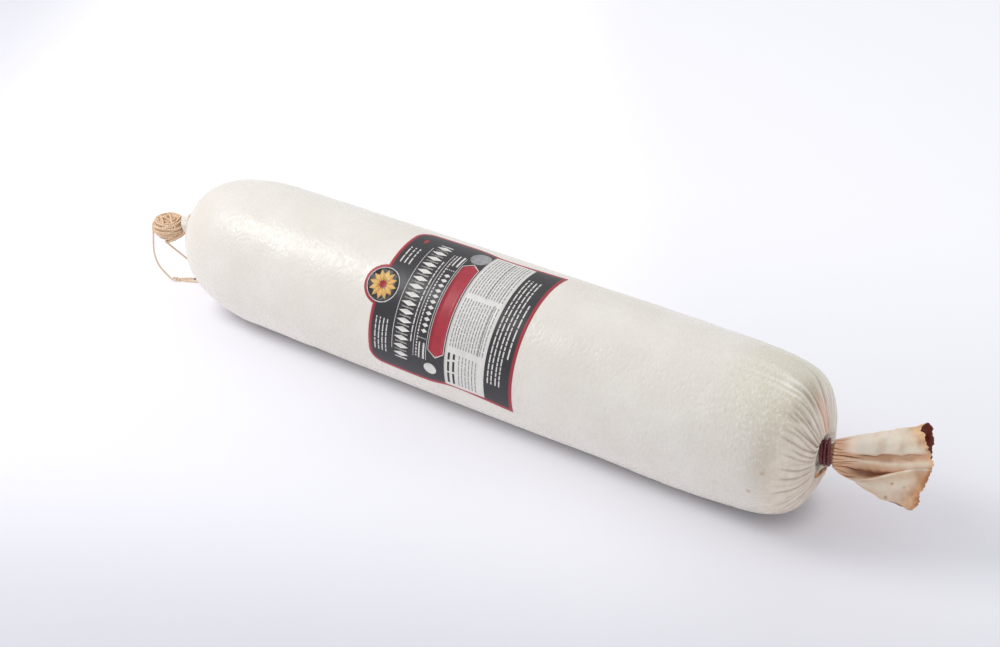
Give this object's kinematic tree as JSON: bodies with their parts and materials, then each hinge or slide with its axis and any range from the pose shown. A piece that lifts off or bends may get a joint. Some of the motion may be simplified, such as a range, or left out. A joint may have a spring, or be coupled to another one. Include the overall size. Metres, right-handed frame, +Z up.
{
  "type": "salami",
  "caption": "Large salami in a white casing lying on its side, with a square label, a cord-tied fanned tail at one end and a twine bundle with a hanging loop at the other.",
  "frame": {"origin": "middle of the underside of the bounding box, on the surface the salami lies on, measured without the hanging loop", "axes": "+X along the salami towards the end with the dark cord and the fanned tail; +Z up; the label's middle faces half way between -Y and +Z"},
  "size_m": [0.6062, 0.1066, 0.1053],
  "materials": {
    "casing": "white coated casing, uneven satin sheen with small bumps",
    "dry_casing": "thin dry translucent casing, creased, with browned edges",
    "tie_cord": "dark red-brown glossy cord",
    "label": "satin printed label, dark field with red border",
    "twine": "tan twisted twine"
  },
  "bodies": {
    "root": {"casing": "casing", "casing_tail": "dry_casing", "near_tie": "tie_cord", "label": "label", "far_tie": "twine", "twine_hank": "twine", "loop_front": "twine", "loop_back": "twine", "loop_knot": "twine"}
  },
  "joints": []
}
